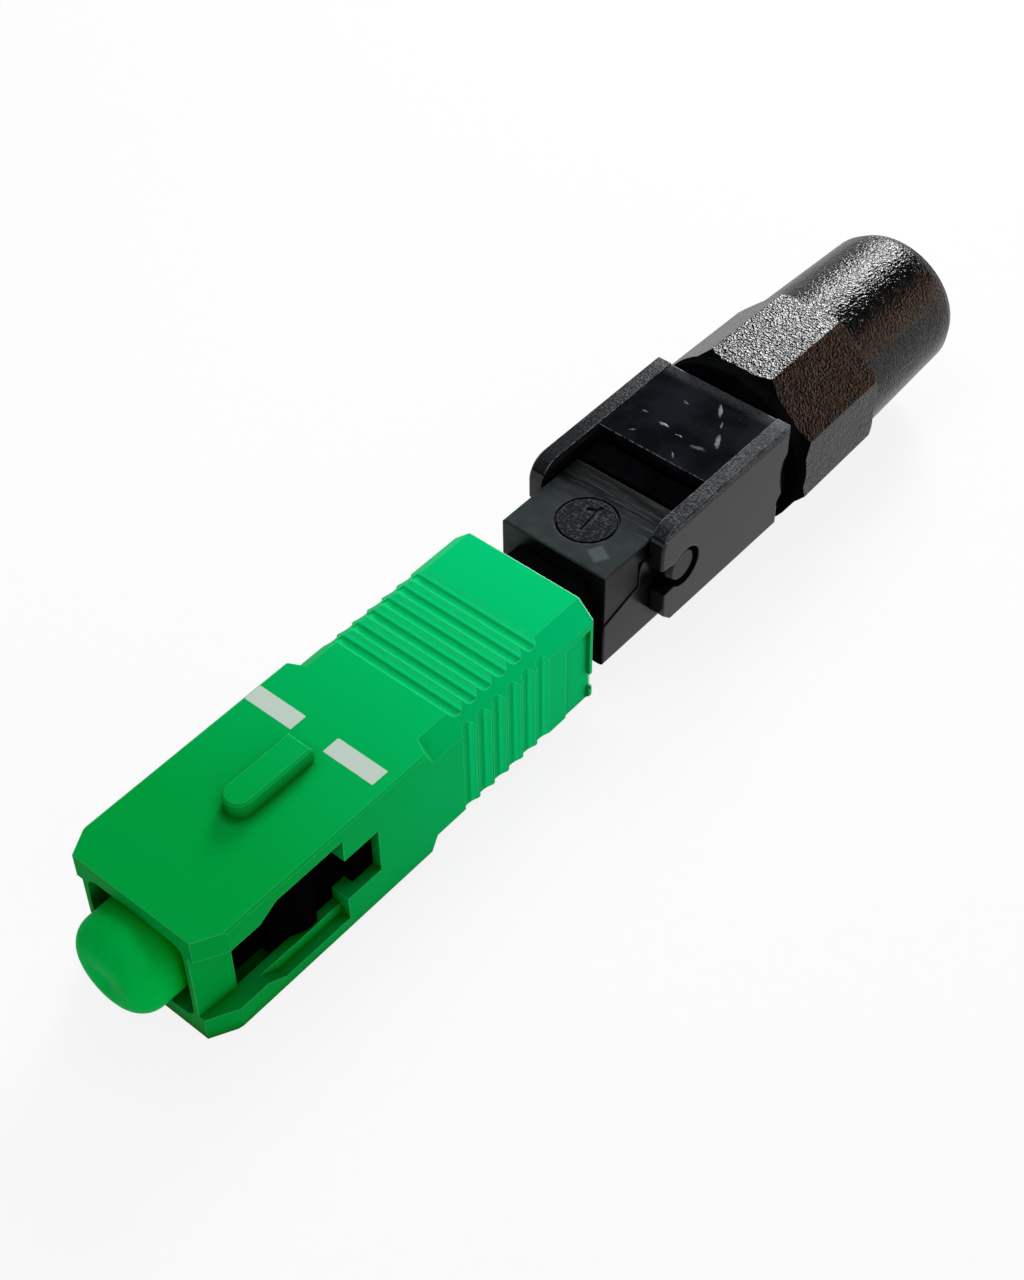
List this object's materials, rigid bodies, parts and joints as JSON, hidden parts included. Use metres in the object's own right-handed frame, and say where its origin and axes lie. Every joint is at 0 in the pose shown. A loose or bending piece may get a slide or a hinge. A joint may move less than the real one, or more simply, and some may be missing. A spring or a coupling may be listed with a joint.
{
  "type": "fibre connector",
  "caption": "Field-fitted square push-pull fibre connector with a key and latch windows, a dust cap, a press block, a flip lid and a tail nut that grips the cable.",
  "frame": {"origin": "on the ferrule's axis, at the front face of the outer housing", "axes": "+X from the mating face towards the cable end, +Z towards the key and the lid"},
  "size_m": [0.0624, 0.01, 0.01],
  "materials": {
    "green_plastic": "satin",
    "cap_plastic": "soft, translucent",
    "black_plastic": "fine texture",
    "inner_plastic": "smooth",
    "ceramic": "polished",
    "steel": "drawn",
    "fibre_glass": "clear"
  },
  "bodies": {
    "splice_body": {"main_body": "black_plastic", "plug_frame": "black_plastic", "ferrule_spring": "steel", "splice_base": "inner_plastic", "splice_cover": "inner_plastic", "splice_clip": "steel", "fibre_guide": "inner_plastic"},
    "housing": {"outer_housing": "green_plastic"},
    "ferrule_unit": {"ferrule": "ceramic", "ferrule_holder": "steel", "fibre_stub": "fibre_glass"},
    "cap": {"dust_cap": "cap_plastic"},
    "block": {"press_block": "black_plastic"},
    "lid": {"lock_cover": "black_plastic"},
    "jaw": {"collet": "black_plastic"},
    "nut": {"tail_nut": "black_plastic"}
  },
  "joints": [
    {"name": "housing_slide", "type": "slide", "parent": "splice_body", "child": "housing", "axis": [1, 0, 0], "range_m": [0, 0.002]},
    {"name": "ferrule_float", "type": "slide", "parent": "splice_body", "child": "ferrule_unit", "axis": [1, 0, 0], "range_m": [0, 0.001], "stiffness_N_per_m": 200, "deforming": ["ferrule_spring"]},
    {"name": "dust_cap_pull", "type": "slide", "parent": "ferrule_unit", "child": "cap", "axis": [-1, 0, 0], "range_m": [0, 0.0055]},
    {"name": "lid_hinge", "type": "hinge", "parent": "splice_body", "child": "lid", "pos_m": [0.0341, 0, 0.00055], "axis": [0, -1, 0], "range_deg": [0, 85]},
    {"name": "block_lift", "type": "slide", "parent": "splice_body", "child": "block", "axis": [0, 0, 1], "range_m": [0, 0.0003]},
    {"name": "jaw_slide", "type": "slide", "parent": "splice_body", "child": "jaw", "axis": [1, 0, 0], "range_m": [0, 0.005]},
    {"name": "nut_turn", "type": "hinge", "parent": "jaw", "child": "nut", "pos_m": [0.05, 0, 0], "axis": [1, 0, 0], "range_deg": [0, 1800]}
  ],
  "couplings": [
    {"joint": "nut_turn", "follows": "jaw_slide", "rad_per_m": 6283.2}
  ]
}
